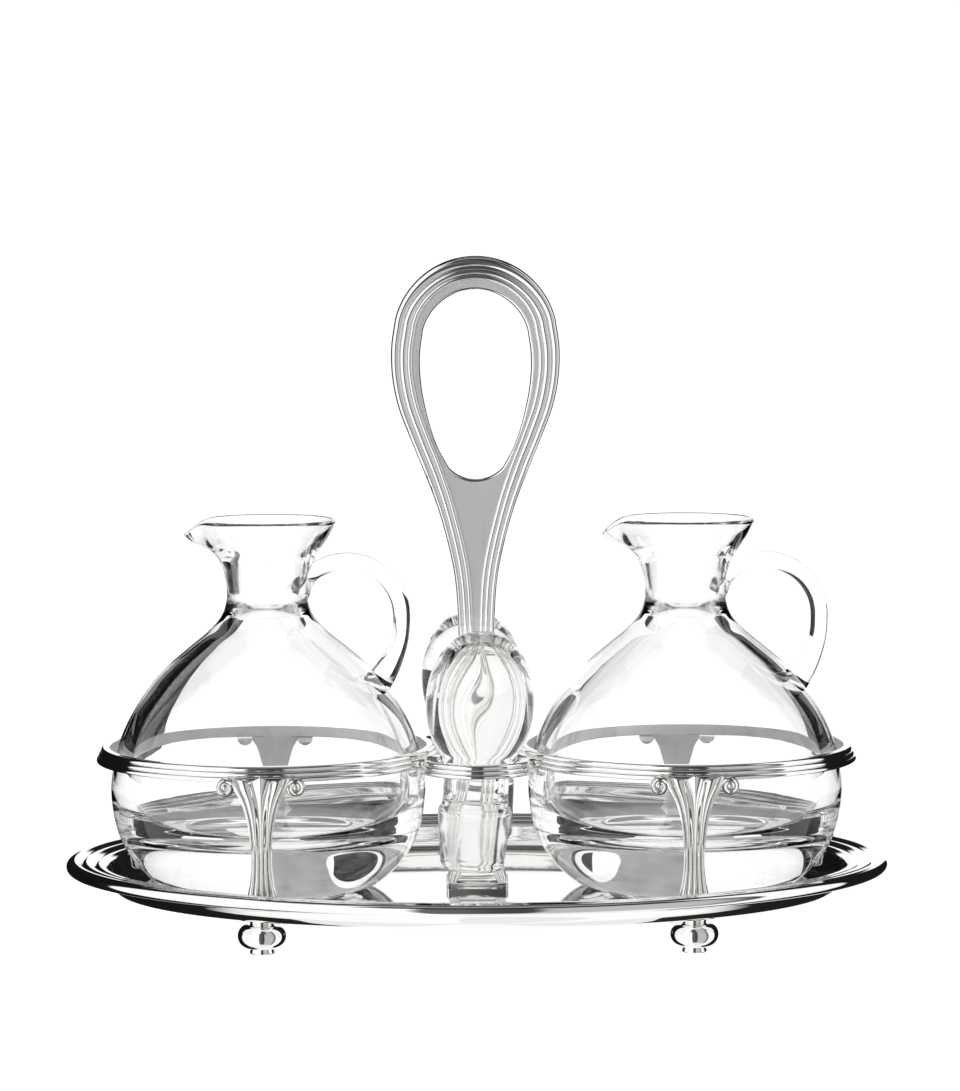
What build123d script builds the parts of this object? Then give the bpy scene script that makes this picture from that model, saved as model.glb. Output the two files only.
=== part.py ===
from build123d import *
import os
from math import atan2, cos, degrees, radians, sin, sqrt

# Oil and vinegar cruet set: an oval tray on four ball feet carries a frame of reeded rings on
# cast legs, a tall loop handle, two glass carafes that stand in the large rings, and two glass
# stoppers that hang in the small rings. Millimetres. +X runs along the tray, +Z is up, and the
# origin is on the table under the middle of the tray.

# ---- driving dimensions ----
TRAY_HALF_LENGTH = 140.0
TRAY_HALF_WIDTH = 99.5
FLOOR_TOP = 13.0
FLOOR_BOTTOM = 11.8
RIM_TOP = 23.4
RIM_BOTTOM = 19.4
RIM_WIDTH = 14.0
FLANGE_TOP = 20.4
FLANGE_EDGE = 1.6

CARAFE_X = 71.0
RING_TOP = 62.0
RING_HEIGHT = 4.9
RING_INNER = 54.2
RING_OUTER = 59.0
REED_COUNT = 3
REED_STEP = 1.15

STOPPER_Y = 33.2
STOPPER_RING_OUTER = 19.5
STOPPER_RING_INNER = 16.2
STOPPER_RING_TOP = 61.2
STOPPER_RING_HEIGHT = 4.3
SHELF_HOLE = 13.3
SHELF_THICKNESS = 1.0
STOPPER_LEAN = 3.0

LEG_Y = 55.2
LEG_TOP = 58.9
FOOT_BALL_RADIUS = 8.1
STUD_RADIUS = 1.5
STUD_TOP = 17.0
STUD_BOTTOM = 4.0

HANDLE_TOP = 228.0
HANDLE_HALF_THICKNESS = 3.6
WEB_HALF_THICKNESS = 1.7
PLINTH_HALF = 10.5
PLINTH_TOP = 15.6
SCREW_RADIUS = 3.0
SCREW_TOP = 32.0
SCREW_HEAD_RADIUS = 5.5
SCREW_HEAD_HEIGHT = 3.0
WASHER_RADIUS = 8.0
WASHER_THICKNESS = 1.0
THREAD_CLEARANCE = 0.05

HANDLE_TUBE_RADIUS = 3.0
HANDLE_ARC_RADIUS = 18.6
HANDLE_ARC_CENTRE = (27.0, 106.0)
HANDLE_FOOT = (36.0, 83.0)

CORNERS = {
    "front_left": (-1, -1),
    "front_right": (1, -1),
    "back_left": (-1, 1),
    "back_right": (1, 1),
}
SIDES = {"left": -1, "right": 1}
ENDS = {"front": -1, "back": 1}


# ---- helpers ----
def section_face(edges):
    """A closed section in the XZ plane from edges drawn in (across, up)."""
    return Plane.XZ * make_face(Curve() + edges)


def turned(edges):
    """A solid of revolution about Z from a closed section in (radius, height)."""
    return revolve(section_face(edges), Axis.Z)


def round_bar(radius, bottom, top):
    return Pos(0, 0, bottom) * Cylinder(
        radius, top - bottom, align=(Align.CENTER, Align.CENTER, Align.MIN)
    )


def around_oval(edges):
    """Sweeps a section, drawn in (inset from the tray's edge, height), round the tray's oval."""
    face = make_face(Curve() + edges)
    at_end = Plane(origin=(TRAY_HALF_LENGTH, 0, 0), x_dir=(-1, 0, 0), z_dir=(0, 1, 0))
    path = Wire([Edge.make_ellipse(TRAY_HALF_LENGTH, TRAY_HALF_WIDTH)])
    return sweep(at_end * face, path=path)


def oval_disc(inset, bottom, top):
    oval = Ellipse(TRAY_HALF_LENGTH - inset, TRAY_HALF_WIDTH - inset)
    return Pos(0, 0, bottom) * extrude(oval, top - bottom)


def reeds(start, end, count, bulge):
    """Half-round reeds in a row, as arcs from start to end that bulge to the left of the way."""
    step = ((end[0] - start[0]) / count, (end[1] - start[1]) / count)
    length = sqrt(step[0] ** 2 + step[1] ** 2)
    out = (-step[1] / length * bulge, step[0] / length * bulge)
    arcs = []
    for index in range(count):
        near = (start[0] + step[0] * index, start[1] + step[1] * index)
        far = (near[0] + step[0], near[1] + step[1])
        crown = ((near[0] + far[0]) / 2 + out[0], (near[1] + far[1]) / 2 + out[1])
        arcs.append(ThreePointArc(near, crown, far))
    return arcs


# ---- tray ----
def make_tray():
    """The stamped dish: a flange, a steep inner wall and a flat sunk floor."""
    wall_foot = 18.0
    overlap = 24.0
    wall = Spline(
        (RIM_WIDTH, FLANGE_TOP), (15.6, 15.2), (wall_foot, FLOOR_TOP),
        tangents=((0.6, -1), (1, 0)),
    )
    underside = Spline(
        (20.5, FLOOR_BOTTOM), (15.2, 14.4), (11.5, RIM_BOTTOM),
        tangents=((-1, 0), (-0.5, 1)),
    )
    rim = around_oval([
        Line((FLANGE_EDGE, FLANGE_TOP), (RIM_WIDTH, FLANGE_TOP)),
        wall,
        Polyline((wall_foot, FLOOR_TOP), (overlap, FLOOR_TOP), (overlap, FLOOR_BOTTOM),
                 (20.5, FLOOR_BOTTOM)),
        underside,
        Polyline((11.5, RIM_BOTTOM), (FLANGE_EDGE, RIM_BOTTOM), (FLANGE_EDGE, FLANGE_TOP)),
    ])
    tray = rim + oval_disc(overlap - 1.0, FLOOR_BOTTOM, FLOOR_TOP)
    for x_side, y_side in CORNERS.values():
        hole = round_bar(STUD_RADIUS + THREAD_CLEARANCE, 0, RIM_TOP)
        tray -= Pos(x_side * CARAFE_X, y_side * LEG_Y, 0) * hole
    return tray - round_bar(SCREW_RADIUS + THREAD_CLEARANCE, 0, RIM_TOP)


def make_tray_rim():
    """The reeded wire round the edge: a deep outer bead, then two reeds that step down inwards."""
    bead_end = (5.2, 22.3)
    second_end = (9.8, 21.6)
    inner_top = (RIM_WIDTH, 20.9)
    return around_oval([
        Line((FLANGE_EDGE, FLANGE_TOP), (FLANGE_EDGE, RIM_BOTTOM)),
        ThreePointArc((FLANGE_EDGE, RIM_BOTTOM), (0.0, 21.3), (1.8, 23.2)),
        ThreePointArc((1.8, 23.2), (3.6, RIM_TOP), bead_end),
        ThreePointArc(bead_end, (7.4, 22.9), second_end),
        ThreePointArc(second_end, (11.8, 22.1), inner_top),
        Polyline(inner_top, (RIM_WIDTH, FLANGE_TOP), (FLANGE_EDGE, FLANGE_TOP)),
    ])


# ---- feet, legs and studs ----
def make_foot():
    """A turned ball foot: pad, ball and collar, tapped for its stud."""
    pad_radius = 4.1
    pad_top = 1.8
    collar_radius = 4.5
    collar_bottom = 10.2
    ball_middle = (pad_top + collar_bottom) / 2
    body = turned([
        Polyline((0, 0), (pad_radius, 0), (pad_radius, pad_top)),
        ThreePointArc((pad_radius, pad_top), (FOOT_BALL_RADIUS, ball_middle),
                      (collar_radius, collar_bottom)),
        Polyline((collar_radius, collar_bottom), (collar_radius, FLOOR_BOTTOM),
                 (0, FLOOR_BOTTOM), (0, 0)),
    ])
    return body - round_bar(STUD_RADIUS + THREAD_CLEARANCE, STUD_BOTTOM, FLOOR_BOTTOM)


def leg_front_outline():
    """The leg seen from the front: a flared foot, a waist and a spread top with two volutes."""
    volute_x = 11.6
    volute_z = 55.6
    volute_radius = 3.25
    side = [(6.0, FLOOR_TOP), (4.9, 18.8), (3.3, 28.0), (3.6, 37.0), (5.1, 47.0), (8.6, 54.6)]
    right = Spline(*side)
    left = Spline(*[(-x, z) for x, z in side])
    top = [(8.6, 54.6), (9.6, 58.4), (5.4, 57.2), (2.6, LEG_TOP), (0.0, 58.2)]
    crown = Polyline(*top, *[(-x, z) for x, z in reversed(top[:-1])])
    base = Line((-6.0, FLOOR_TOP), (6.0, FLOOR_TOP))
    outline = make_face(Curve() + [right, crown, left, base])
    for side_sign in SIDES.values():
        outline += Pos(side_sign * volute_x, volute_z) * Circle(volute_radius)
    return outline


def leg_side_outline():
    """The leg seen from the side, as (distance from the tray's long axis, height)."""
    outer = [(61.4, FLOOR_TOP), (59.6, 21.0), (58.9, 30.0), (60.0, 44.0), (61.4, LEG_TOP + 0.2)]
    inner = [(57.0, LEG_TOP + 0.2), (57.0, 44.0), (55.9, 30.0), (54.2, 20.0), (51.4, FLOOR_TOP)]
    return make_face(Curve() + [
        Spline(*outer), Line(outer[-1], inner[0]), Spline(*inner), Line(inner[-1], outer[0]),
    ])


def make_leg(x_side, y_side):
    """A cast leg, coped to the ring that it carries and tapped for its stud."""
    deep = 2 * TRAY_HALF_WIDTH
    front = extrude(Plane.XZ * leg_front_outline(), deep / 2, both=True)
    side = extrude(Plane.YZ * leg_side_outline(), FOOT_BALL_RADIUS * 2, both=True)
    leg = front & side
    leg -= Pos(0, LEG_Y, 0) * round_bar(STUD_RADIUS + THREAD_CLEARANCE, 0, STUD_TOP + 0.5)
    leg -= ring_solid(RING_OUTER, RING_INNER, RING_TOP, RING_HEIGHT)
    if y_side < 0:
        leg = leg.mirror(Plane.XZ)
    return Pos(x_side * CARAFE_X, 0, 0) * leg


def make_leg_studs():
    stud = round_bar(STUD_RADIUS, STUD_BOTTOM + 0.5, STUD_TOP)
    return [Pos(x * CARAFE_X, y * LEG_Y, 0) * stud for x, y in CORNERS.values()]


# ---- rings ----
def ring_solid(outer, inner, top, height):
    """A band whose outer face is three reeds, each lower reed standing further out."""
    bottom = top - height
    bulge = 0.35
    top_inset = 0.55
    first = (outer - bulge - REED_STEP * (REED_COUNT - 1) - top_inset, top)
    last = (outer - bulge, bottom)
    return turned([
        *reeds(first, last, REED_COUNT, bulge),
        Polyline(last, (inner, bottom), (inner, top), first),
    ])


def stopper_ring_lug(x_side, y_side):
    """A short block that bridges a small ring to a large one, where the two nearly touch."""
    length = 3.6
    width = 5.0
    height = 2.6
    above_ring_foot = 0.2
    sunk_in_ring = 0.6
    reach_x = x_side * CARAFE_X
    reach_y = -y_side * STOPPER_Y
    part_way = (STOPPER_RING_OUTER - sunk_in_ring) / sqrt(reach_x ** 2 + reach_y ** 2)
    lug_z = STOPPER_RING_TOP - STOPPER_RING_HEIGHT + above_ring_foot + height / 2
    place = Pos(reach_x * part_way, y_side * STOPPER_Y + reach_y * part_way, lug_z)
    turn = degrees(atan2(reach_y, reach_x))
    return place * Rot(0, 0, turn) * Box(length, width, height)


def make_stopper_ring(y_side):
    """A small ring with an inner shelf for the stopper and lugs soldered to the large rings."""
    shelf_bottom = STOPPER_RING_TOP - SHELF_THICKNESS
    shelf_overlap = 0.4
    shelf = round_bar(STOPPER_RING_INNER + shelf_overlap, shelf_bottom, STOPPER_RING_TOP)
    ring = ring_solid(STOPPER_RING_OUTER, STOPPER_RING_INNER, STOPPER_RING_TOP,
                      STOPPER_RING_HEIGHT)
    ring += shelf - round_bar(SHELF_HOLE, shelf_bottom, STOPPER_RING_TOP)
    ring = Pos(0, y_side * STOPPER_Y, 0) * ring
    hollow = Pos(0, y_side * STOPPER_Y, 0) * round_bar(STOPPER_RING_INNER, 0, RING_TOP)
    large_ring = ring_solid(RING_OUTER, RING_INNER, RING_TOP, RING_HEIGHT)
    for x_side in SIDES.values():
        ring += stopper_ring_lug(x_side, y_side) - hollow
        ring -= Pos(x_side * CARAFE_X, 0, 0) * large_ring
        ring -= Pos(x_side * CARAFE_X, 0, 0) * round_bar(RING_INNER + 0.1, 0, RING_TOP)
    return ring


# ---- loop handle ----
def mirrored(points):
    return [(-x, z) for x, z in reversed(points)]


def loop_outline():
    """The handle's front outline: an egg-shaped loop that narrows to a stem and flares again."""
    side = [
        (10.2, PLINTH_TOP), (7.2, 40.0), (6.1, 72.0), (6.1, 100.0), (7.4, 119.0), (13.2, 143.0),
        (22.5, 166.8), (28.3, 186.0), (27.3, 206.5),
    ]
    right = Spline(*side)
    left = Spline(*mirrored(side))
    top = ThreePointArc(side[-1], (0, HANDLE_TOP), (-side[-1][0], side[-1][1]))
    base = Line((-side[0][0], PLINTH_TOP), side[0])
    return make_face(Curve() + [right, top, left, base])


def loop_opening():
    side = [(8.4, 157.0), (14.4, 171.0), (18.2, 185.5), (18.5, 199.0), (16.6, 205.6)]
    right = Spline(*side)
    left = Spline(*mirrored(side))
    top = ThreePointArc(side[-1], (0, 216.4), (-side[-1][0], side[-1][1]))
    bottom = ThreePointArc((-side[0][0], side[0][1]), (0, 152.4), side[0])
    return make_face(Curve() + [right, top, left, bottom])


def web_panel():
    """The flat panel between the reeds, from the loop's opening down into the stem."""
    side = [(0.5, 105.0), (2.0, 121.0), (4.9, 136.0), (9.0, 152.0), (10.6, 159.5)]
    right = Spline(*side)
    left = Spline(*[(-x, z) for x, z in side])
    caps = [Line(side[0], (-side[0][0], side[0][1])), Line(side[-1], (-side[-1][0], side[-1][1]))]
    return make_face(Curve() + [right, left, *caps])


def slab(face, near, far):
    """A front-view outline given thickness between two distances from the middle plane."""
    return Pos(0, -near, 0) * extrude(Plane.XZ * face, far - near)


def make_handle():
    """One casting: reeded loop, recessed web, stem and square plinth, tapped from below."""
    half = HANDLE_HALF_THICKNESS
    loop = slab(loop_outline(), -half, half)
    base_flare = extrude(
        Plane.YZ * make_face(Curve() + [
            Spline((PLINTH_HALF - 0.6, PLINTH_TOP), (7.0, 22.0), (half, 46.0)),
            Line((half, 46.0), (-half, 46.0)),
            Spline((-half, 46.0), (-7.0, 22.0), (-PLINTH_HALF + 0.6, PLINTH_TOP)),
            Line((-PLINTH_HALF + 0.6, PLINTH_TOP), (PLINTH_HALF - 0.6, PLINTH_TOP)),
        ]),
        PLINTH_HALF, both=True,
    )
    wide = slab(loop_outline(), -PLINTH_HALF, PLINTH_HALF)
    handle = loop + (base_flare & wide)
    handle -= slab(loop_opening(), -PLINTH_HALF, PLINTH_HALF)
    handle -= slab(web_panel(), WEB_HALF_THICKNESS, PLINTH_HALF)
    handle -= slab(web_panel(), -PLINTH_HALF, -WEB_HALF_THICKNESS)
    plinth_height = PLINTH_TOP - FLOOR_TOP
    handle += Pos(0, 0, FLOOR_TOP + plinth_height / 2) * Box(
        2 * PLINTH_HALF, 2 * PLINTH_HALF, plinth_height
    )
    return handle - round_bar(SCREW_RADIUS + THREAD_CLEARANCE, 0, SCREW_TOP + 1)


def make_handle_screw():
    head_top = FLOOR_BOTTOM - WASHER_THICKNESS
    head = round_bar(SCREW_HEAD_RADIUS, head_top - SCREW_HEAD_HEIGHT, head_top)
    slot = Pos(0, 0, head_top - SCREW_HEAD_HEIGHT) * Box(2 * SCREW_HEAD_RADIUS, 1.2, 2.0)
    return head + round_bar(SCREW_RADIUS, head_top, SCREW_TOP) - slot


def make_handle_washer():
    washer = round_bar(WASHER_RADIUS, FLOOR_BOTTOM - WASHER_THICKNESS, FLOOR_BOTTOM)
    return washer - round_bar(SCREW_RADIUS + THREAD_CLEARANCE, 0, FLOOR_TOP)


# ---- glass ----
def carafe_outer():
    """The full outside form of a carafe: a flat base, a round belly, a waisted neck, a flare."""
    top = 139.0
    base = 32.0
    belly = Spline(
        (base, FLOOR_TOP), (44.0, 20.6), (51.5, 33.5), (53.5, 46.0), (50.6, 63.0), (43.3, 78.0),
        (33.0, 90.3), (19.8, 101.3), (13.9, 111.0), (15.0, 122.0), (23.2, 137.6),
    )
    return turned([
        Line((0, FLOOR_TOP), (base, FLOOR_TOP)),
        belly,
        Polyline((23.2, 137.6), (22.9, top), (0, top), (0, FLOOR_TOP)),
    ])


def carafe_hollow():
    """The cavity over its thick base, the ground taper in the neck and the flared mouth."""
    cavity = Spline(
        (0, 31.0), (36.0, 32.6), (46.4, 41.5), (47.0, 53.0), (43.0, 69.0), (33.5, 82.5),
        (21.0, 94.0), (13.2, 100.5), (10.6, 105.0), tangents=((1, 0), (0, 1)),
    )
    mouth = Spline((12.2, 124.5), (15.6, 130.6), (21.6, 139.1))
    return turned([
        cavity,
        Line((10.6, 105.0), (12.2, 124.5)),
        mouth,
        Polyline((21.6, 139.1), (0, 139.1), (0, 31.0)),
    ])


def spout_cone(grow):
    """A cone that points out and slightly down through the mouth, towards the pouring tip."""
    length = 16.0
    cone = Cone(8.2 + grow, 1.0 + grow, length, align=(Align.CENTER, Align.CENTER, Align.MIN))
    return Pos(-13.5, 0, 133.5) * Rot(0, -88, 0) * cone


def make_carafe(x_side):
    """One carafe with its pouring lip at its left."""
    wall = 1.6
    lip_top = Pos(-25.0, 0, 139.0) * Rot(0, -18, 0) * Box(30, 60, 8.8)
    glass = carafe_outer() + (spout_cone(wall) - lip_top)
    glass -= carafe_hollow()
    trough = Pos(0, 0, 1.2) * spout_cone(0)
    glass -= trough & Pos(-15, 0, 135.5) * Box(26.0, 24.0, 14.0)
    return Pos(x_side * CARAFE_X, 0, 0) * glass


def carafe_handle_path():
    centre_x, centre_z = HANDLE_ARC_CENTRE
    radius = HANDLE_ARC_RADIUS

    def on_arc(angle):
        return (centre_x + radius * cos(radians(angle)), centre_z + radius * sin(radians(angle)))

    over = ThreePointArc(on_arc(152), on_arc(76), on_arc(0))
    down = TangentArc(on_arc(0), HANDLE_FOOT, tangent=(0, -1))
    return Plane.XZ * (Curve() + [over, down])


def make_carafe_handle(x_side):
    """The applied loop of glass, coped to the neck and the shoulder."""
    path = carafe_handle_path()
    start = Plane(origin=path @ 0, z_dir=path % 0)
    tube = sweep(start * Circle(HANDLE_TUBE_RADIUS), path=path)
    return Pos(x_side * CARAFE_X, 0, 0) * (tube - carafe_outer())


def make_stopper(y_side):
    """Ground plug, collar and egg-shaped knob, leaning a little in the ring."""
    egg = Spline((10.9, 56.0), (13.0, 62.0), (17.0, 70.5), (18.0, 79.5), (16.4, 90.0),
                 (9.6, 100.4), (3.9, 103.1))
    body = turned([
        Line((0, 23.7), (8.4, 23.7)),
        ThreePointArc((8.4, 23.7), (10.1, 24.6), (10.7, 26.4)),
        Polyline((10.7, 26.4), (12.3, 42.6), (10.9, 46.2), (10.9, 56.0)),
        egg,
        Polyline((3.9, 103.1), (3.5, 103.5), (0, 103.5), (0, 23.7)),
    ])
    lean = Rot(0, -y_side * STOPPER_LEAN, 0)
    place = Pos(0, y_side * STOPPER_Y, STOPPER_RING_TOP)
    return place * lean * Pos(0, 0, 0.25 - STOPPER_RING_TOP) * body


# ---- all sub-parts, one STEP each ----
def all_parts():
    parts = {
        "tray": make_tray(),
        "tray_rim": make_tray_rim(),
        "leg_studs": make_leg_studs(),
        "handle": make_handle(),
        "handle_screw": make_handle_screw(),
        "handle_washer": make_handle_washer(),
    }
    for corner, (x_side, y_side) in CORNERS.items():
        parts["foot_" + corner] = Pos(x_side * CARAFE_X, y_side * LEG_Y, 0) * make_foot()
        parts["leg_" + corner] = make_leg(x_side, y_side)
    for side, x_side in SIDES.items():
        ring = ring_solid(RING_OUTER, RING_INNER, RING_TOP, RING_HEIGHT)
        parts[side + "_ring"] = Pos(x_side * CARAFE_X, 0, 0) * ring
        parts[side + "_carafe"] = make_carafe(x_side)
        parts[side + "_carafe_handle"] = make_carafe_handle(x_side)
    for end, y_side in ENDS.items():
        parts[end + "_stopper_ring"] = make_stopper_ring(y_side)
        parts[end + "_stopper"] = make_stopper(y_side)
    return parts


os.makedirs("parts", exist_ok=True)
for name, shape in all_parts().items():
    if isinstance(shape, list):
        shape = Compound(children=shape)
    export_step(shape, f"parts/{name}.step")
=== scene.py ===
from math import atan2, cos, exp, hypot, pi, radians, sin, sqrt

import bmesh
import bpy
from mathutils import Matrix, Quaternion, Vector


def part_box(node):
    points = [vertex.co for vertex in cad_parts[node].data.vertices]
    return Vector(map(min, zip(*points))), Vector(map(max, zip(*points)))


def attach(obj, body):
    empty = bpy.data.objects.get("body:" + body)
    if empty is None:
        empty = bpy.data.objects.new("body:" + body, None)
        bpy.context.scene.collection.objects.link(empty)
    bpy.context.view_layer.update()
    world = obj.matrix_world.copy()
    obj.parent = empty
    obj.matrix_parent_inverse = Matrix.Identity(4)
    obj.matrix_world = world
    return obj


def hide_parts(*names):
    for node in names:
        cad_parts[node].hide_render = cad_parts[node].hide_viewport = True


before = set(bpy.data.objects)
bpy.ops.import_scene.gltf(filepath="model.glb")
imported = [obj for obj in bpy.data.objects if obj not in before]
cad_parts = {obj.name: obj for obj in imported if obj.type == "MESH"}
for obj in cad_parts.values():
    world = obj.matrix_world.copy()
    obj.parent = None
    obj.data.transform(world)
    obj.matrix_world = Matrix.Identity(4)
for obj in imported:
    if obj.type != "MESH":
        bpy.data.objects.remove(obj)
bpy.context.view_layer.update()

# A cruet set: an oval silver tray on ball feet, reeded rings on cast legs, a loop handle, two
# carafes and two stoppers. Lengths are millimetres, which MM turns to metres. Only the materials
# and the camera's clip end are in metres already.
MM = 0.001

# ---- places and sizes, from the frame ----


def mm_box(node):
    """A CAD node's lowest and highest corners in millimetres."""
    low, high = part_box(node)
    return low / MM, high / MM


rim_low, rim_high = mm_box("tray_rim")
HALF_LENGTH = rim_high.x
HALF_WIDTH = rim_high.y
RIM_TOP = rim_high.z
RIM_BOTTOM = rim_low.z
foot_low, foot_high = mm_box("foot_front_left")
FOOT_X = -(foot_low.x + foot_high.x) / 2
FOOT_Y = -(foot_low.y + foot_high.y) / 2
BALL_RADIUS = (foot_high.x - foot_low.x) / 2
FLOOR_UNDER = foot_high.z
leg_low, leg_high = mm_box("leg_front_left")
FLOOR = leg_low.z
LEG_TOP = leg_high.z
ring_low, ring_high = mm_box("left_ring")
CARAFE_X = -(ring_low.x + ring_high.x) / 2
RING_OUTER = (ring_high.x - ring_low.x) / 2
RING_TOP = ring_high.z
RING_BOTTOM = ring_low.z
small_low, small_high = mm_box("front_stopper_ring")
SMALL_TOP = small_high.z
SMALL_BOTTOM = small_low.z
SMALL_OUTER = 19.5  # the ring's own radius, because its box also holds the two bridges
STOPPER_Y = -(small_low.y + SMALL_OUTER)
_, handle_high = mm_box("handle")
HANDLE_TOP = handle_high.z
PLINTH_HALF = handle_high.y
PLINTH_TOP = FLOOR + 2.6
_, carafe_high = mm_box("left_carafe")
MOUTH_TOP = carafe_high.z

SIDES = {"left": -1, "right": 1}
ENDS = {"front": -1, "back": 1}
CORNERS = {end + "_" + side: (x, y) for end, y in ENDS.items() for side, x in SIDES.items()}
STAND = "stand"


# ---- outlines ----
def smooth(points, per=10):
    """A centripetal Catmull-Rom line through the points, with the end points kept."""
    padded = [
        tuple(2 * a - b for a, b in zip(points[0], points[1])),
        *points,
        tuple(2 * a - b for a, b in zip(points[-1], points[-2])),
    ]
    line = [tuple(points[0])]
    for first, second, third, fourth in zip(padded, padded[1:], padded[2:], padded[3:]):
        t1 = sqrt(max(hypot(second[0] - first[0], second[1] - first[1]), 1e-6))
        t2 = t1 + sqrt(max(hypot(third[0] - second[0], third[1] - second[1]), 1e-6))
        t3 = t2 + sqrt(max(hypot(fourth[0] - third[0], fourth[1] - third[1]), 1e-6))
        for step in range(1, per + 1):
            t = t1 + (t2 - t1) * step / per
            line.append(tuple(
                catmull(a, b, c, d, t, t1, t2, t3)
                for a, b, c, d in zip(first, second, third, fourth)
            ))
    return line


def catmull(a, b, c, d, t, t1, t2, t3):
    """One coordinate of the Catmull-Rom line at knot t, by repeated mixing."""
    ab = a + (b - a) * t / t1
    bc = b + (c - b) * (t - t1) / (t2 - t1)
    cd = c + (d - c) * (t - t2) / (t3 - t2)
    left = ab + (bc - ab) * t / t2
    right = bc + (cd - bc) * (t - t1) / (t3 - t1)
    return left + (right - left) * (t - t1) / (t2 - t1)


def arc(start, middle, end, steps=10):
    """Points on the circle through three points, from start to end."""
    (ax, ay), (bx, by), (cx, cy) = start, middle, end
    twice = 2 * (ax * (by - cy) + bx * (cy - ay) + cx * (ay - by))
    squares = (ax * ax + ay * ay, bx * bx + by * by, cx * cx + cy * cy)
    ox = (squares[0] * (by - cy) + squares[1] * (cy - ay) + squares[2] * (ay - by)) / twice
    oy = (squares[0] * (cx - bx) + squares[1] * (ax - cx) + squares[2] * (bx - ax)) / twice
    radius = hypot(ax - ox, ay - oy)
    first = atan2(ay - oy, ax - ox)
    halfway = (atan2(by - oy, bx - ox) - first) % (2 * pi)
    sweep = (atan2(cy - oy, cx - ox) - first) % (2 * pi)
    if halfway > sweep:
        sweep -= 2 * pi
    return [
        (ox + radius * cos(first + sweep * i / steps), oy + radius * sin(first + sweep * i / steps))
        for i in range(steps + 1)
    ]


def joined(*lines):
    """Several outlines end to end, without repeating the points where they meet."""
    whole = []
    for line in lines:
        for point in line:
            if not whole or hypot(point[0] - whole[-1][0], point[1] - whole[-1][1]) > 1e-4:
                whole.append(tuple(point))
    return whole


def reed_row(start, end, count, bulge, steps=10):
    """Half-round reeds in a row from start to end, each bulging to the left of the way along."""
    dx, dz = (end[0] - start[0]) / count, (end[1] - start[1]) / count
    span = hypot(dx, dz)
    out = (-dz / span * bulge, dx / span * bulge)
    line = []
    for index in range(count):
        for step in range(steps + 1):
            along = index + (1 - cos(pi * step / steps)) / 2
            lift = sin(pi * step / steps)
            line.append((
                start[0] + dx * along + out[0] * lift, start[1] + dz * along + out[1] * lift,
            ))
    return joined(line)


def tangent(path, index):
    """The unit direction along a path at one of its points."""
    before, after = path[max(index - 1, 0)], path[min(index + 1, len(path) - 1)]
    dx, dz = after[0] - before[0], after[1] - before[1]
    span = hypot(dx, dz)
    return dx / span, dz / span


def ease(value):
    """A smooth step from 0 to 1."""
    value = min(max(value, 0.0), 1.0)
    return value * value * (3 - 2 * value)


def table_value(table, at):
    """A value read from (place, value) pairs with smooth steps between them."""
    if at <= table[0][0]:
        return table[0][1]
    for (low, first), (high, second) in zip(table, table[1:]):
        if at <= high:
            return first + (second - first) * ease((at - low) / (high - low))
    return table[-1][1]


def curve_value(line, at):
    """A value read straight between the points of a fine line of (place, value)."""
    for (low, first), (high, second) in zip(line, line[1:]):
        if at <= high:
            return first + (second - first) * (at - low) / (high - low)
    return line[-1][1]


# ---- meshes ----
def add_object(name, data):
    thing = bpy.data.objects.new(name, data)
    bpy.context.scene.collection.objects.link(thing)
    return thing


def new_piece(name, points, faces, materials, face_slots=None, sharp=35.0):
    """A mesh object from points in millimetres, smooth except along edges sharper than sharp."""
    mesh = bpy.data.meshes.new(name)
    mesh.from_pydata([(x * MM, y * MM, z * MM) for x, y, z in points], [], faces)
    for material in materials:
        mesh.materials.append(material)
    if face_slots:
        mesh.polygons.foreach_set("material_index", face_slots)
    mesh.validate()
    face_outwards(mesh)
    mesh.shade_smooth()
    mesh.set_sharp_from_angle(angle=radians(sharp))
    return add_object(name, mesh)


def face_outwards(mesh):
    """Turns every face of a closed mesh outwards."""
    work = bmesh.new()
    work.from_mesh(mesh)
    bmesh.ops.recalc_face_normals(work, faces=work.faces)
    work.to_mesh(mesh)
    work.free()


def finish_piece(piece, body, slot, *nodes):
    """Puts a piece on its body and hides the CAD nodes it stands for. slot is not used."""
    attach(piece, body)
    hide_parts(*nodes)


def grid_faces(rows, columns, wrap_rows=False, wrap_columns=False, first=0):
    """Quads over a grid of points stored row by row."""
    faces = []
    for row in range(rows if wrap_rows else rows - 1):
        for column in range(columns if wrap_columns else columns - 1):
            next_row, next_column = (row + 1) % rows, (column + 1) % columns
            faces.append((
                first + row * columns + column, first + row * columns + next_column,
                first + next_row * columns + next_column, first + next_row * columns + column,
            ))
    return faces


def band_faces(lower, upper, steps):
    """Faces between two rings of point numbers, either of which may be a single pole."""
    faces = []
    for step in range(steps):
        after = (step + 1) % steps
        if len(lower) == 1:
            faces.append((lower[0], upper[after], upper[step]))
        elif len(upper) == 1:
            faces.append((lower[step], lower[after], upper[0]))
        else:
            faces.append((lower[step], lower[after], upper[after], upper[step]))
    return faces


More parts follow.
